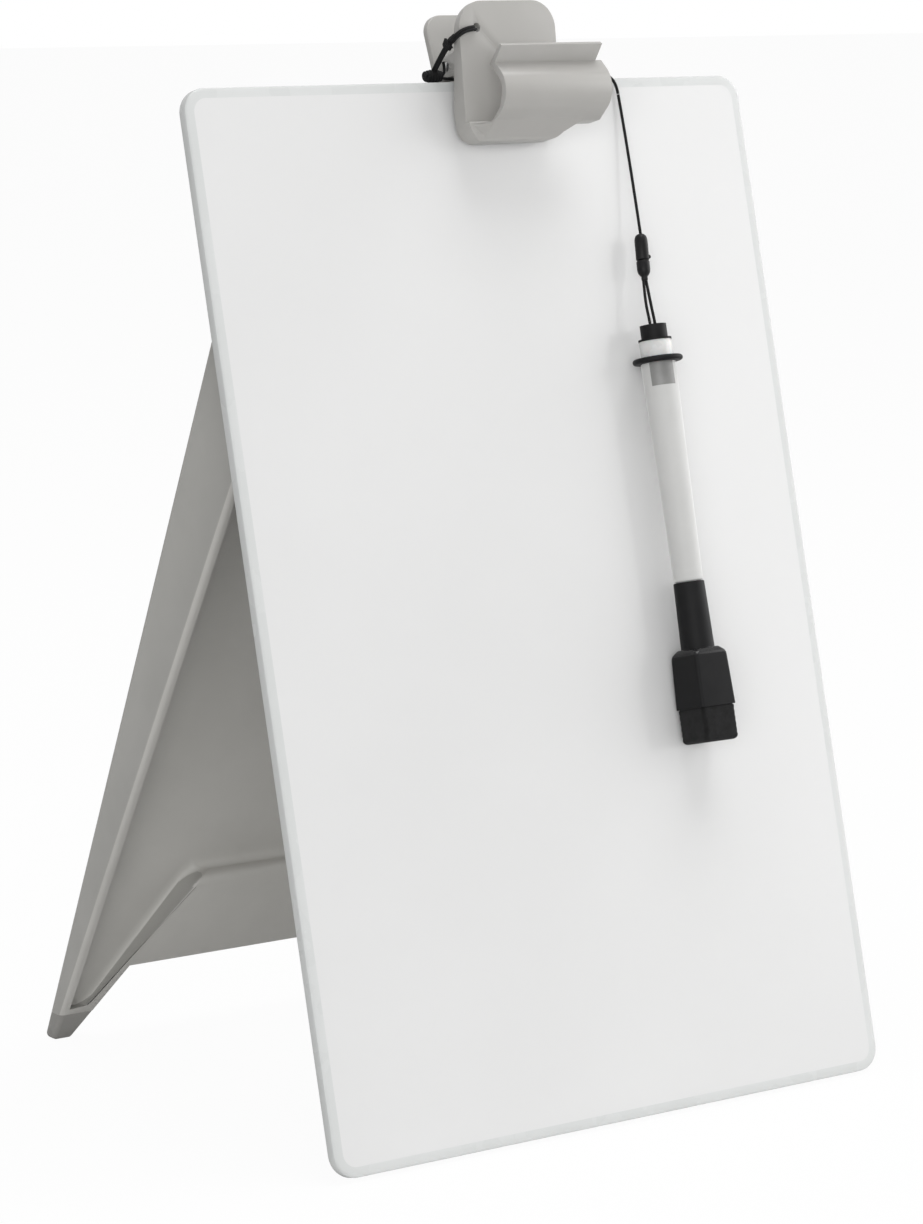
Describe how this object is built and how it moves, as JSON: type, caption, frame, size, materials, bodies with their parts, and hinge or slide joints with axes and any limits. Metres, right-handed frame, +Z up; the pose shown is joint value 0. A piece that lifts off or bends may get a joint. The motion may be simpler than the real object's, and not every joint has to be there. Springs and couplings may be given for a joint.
{
  "type": "magnetic desk whiteboard easel",
  "caption": "Glass whiteboard on a folding desk stand, with a sliding spring clip, and a marker with an eraser cap that hangs on a cord with a pull-apart connector.",
  "frame": {"origin": "on the desk, at the middle of the easel's footprint", "axes": "+Z up, +X to the right seen from the writing side, +Y towards the back; the writing face looks along -Y and leans back 14.2 degrees"},
  "size_m": [0.22, 0.2013, 0.357],
  "materials": {
    "white_glass": "clear toughened glass, painted white behind, polished arris",
    "steel_sheet": "plain galvanised sheet",
    "foam_tape": "closed-cell foam",
    "grey_shell": "fine moulded texture",
    "foot_plastic": "fine moulded texture",
    "clip_plastic": "smooth satin moulding",
    "steel_hardware": "zinc plated",
    "spring_steel": "drawn wire",
    "dark_rubber": "matt",
    "black_cord": "fine braid",
    "connector_black": "smooth moulding",
    "pen_black": "satin moulding",
    "pen_white": "smooth moulding",
    "ink_fibre": "fibre",
    "nib_fibre": "pressed fibre",
    "magnet_metal": "nickel plated",
    "eraser_felt": "dense felt"
  },
  "bodies": {
    "board": {"glass_panel": "white_glass", "steel_backing_sheet": "steel_sheet", "foam_tape_strips": "foam_tape", "back_shell": "grey_shell", "hinge_brackets": "steel_hardware", "bracket_screws": "steel_hardware", "hinge_pins": "steel_hardware", "board_bumpers": "dark_rubber"},
    "stand": {"stand": "grey_shell", "foot_caps": "foot_plastic"},
    "clip_front": {"clip_front_jaw": "clip_plastic", "clip_pivot_pin": "steel_hardware", "clip_spring": "spring_steel", "front_grip_pad": "dark_rubber", "loop_strand_a": "black_cord", "loop_strand_b": "black_cord", "loop_hitch": "black_cord", "tether_knot": "black_cord", "tether_run": "black_cord"},
    "clip_rear": {"clip_rear_jaw": "clip_plastic", "rear_grip_pad": "dark_rubber"},
    "tether": {"tether_drop": "black_cord", "connector_socket": "connector_black"},
    "leash": {"connector_plug": "connector_black", "pen_loop": "black_cord"},
    "pen": {"pen_end_plug": "pen_black", "pen_guard_ring": "pen_black", "pen_barrel": "pen_white", "ink_reservoir": "ink_fibre", "nib_holder": "pen_white", "felt_nib": "nib_fibre"},
    "cap": {"pen_cap": "pen_black", "cap_magnet": "magnet_metal", "eraser_felt": "eraser_felt"}
  },
  "joints": [
    {"name": "stand_fold", "type": "hinge", "parent": "board", "child": "stand", "pos_m": [0, -0.02668, 0.21926], "axis": [1, 0, 0], "range_deg": [-44.5, 0]},
    {"name": "clip_slide", "type": "slide", "parent": "board", "child": "clip_front", "axis": [1, 0, 0], "range_m": [-0.09, 0.045]},
    {"name": "clip_squeeze", "type": "hinge", "parent": "clip_front", "child": "clip_rear", "pos_m": [0.0083, -0.01402, 0.33574], "axis": [1, 0, 0], "range_deg": [0, 16], "stiffness_Nm_per_rad": 0.3, "springref_deg": -40.11, "deforming": ["clip_spring"]},
    {"name": "pen_lift", "type": "hinge", "parent": "clip_front", "child": "tether", "pos_m": [0.0575, -0.02048, 0.32571], "axis": [-1, 0, 0], "range_deg": [0, 45]},
    {"name": "connector_pull", "type": "slide", "parent": "tether", "child": "leash", "axis": [-0.1198, -0.3162, -0.9411], "range_m": [0, 0.012]},
    {"name": "pen_swing", "type": "hinge", "parent": "leash", "child": "pen", "pos_m": [0.0523, -0.04735, 0.24948], "axis": [0, -0.9694, 0.2453], "range_deg": [-20, 20]},
    {"name": "cap_pull", "type": "slide", "parent": "pen", "child": "cap", "axis": [-0.0061, -0.2453, -0.9694], "range_m": [0, 0.03]}
  ]
}
